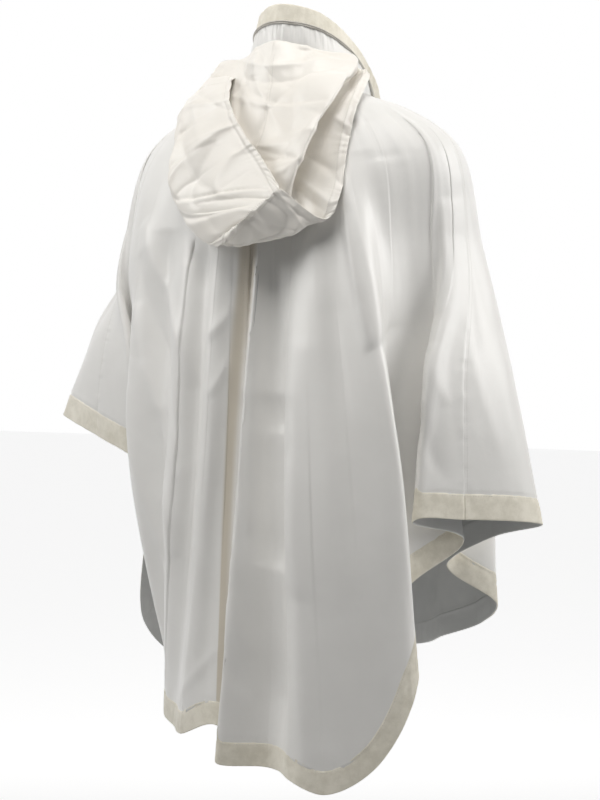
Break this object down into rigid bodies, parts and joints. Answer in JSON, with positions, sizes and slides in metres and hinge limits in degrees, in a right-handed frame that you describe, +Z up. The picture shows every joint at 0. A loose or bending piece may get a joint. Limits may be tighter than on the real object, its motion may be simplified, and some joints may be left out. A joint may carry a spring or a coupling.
{
  "type": "hooded cape",
  "caption": "Hooded cape as worn: open front, stand collar, hood down the back, short over the arms and long behind, hem bands all round.",
  "frame": {"origin": "middle of the wearer's neck at the height where neck and shoulder meet, where the neck and shoulders hold the cape up", "axes": "+Z up, the wearer faces -Y so the hood and the long back are at +Y, +X towards the wearer's left"},
  "size_m": [0.6907, 0.396, 0.9363],
  "materials": {
    "shell": "satin-faced woven shell, ivory white, silver-grey lining behind it",
    "suede": "matt suede-like cloth, cream",
    "piping": "woven piping, grey"
  },
  "bodies": {
    "root": {"back_left": "shell", "back_right": "shell", "front_left": "shell", "front_right": "shell", "band_back_left": "suede", "band_back_right": "suede", "band_front_left": "suede", "band_front_right": "suede", "edge_left": "suede", "edge_right": "suede", "collar_stand": "shell", "collar_band": "suede", "collar_piping": "piping", "hood_left": "shell", "hood_right": "shell"}
  },
  "joints": []
}
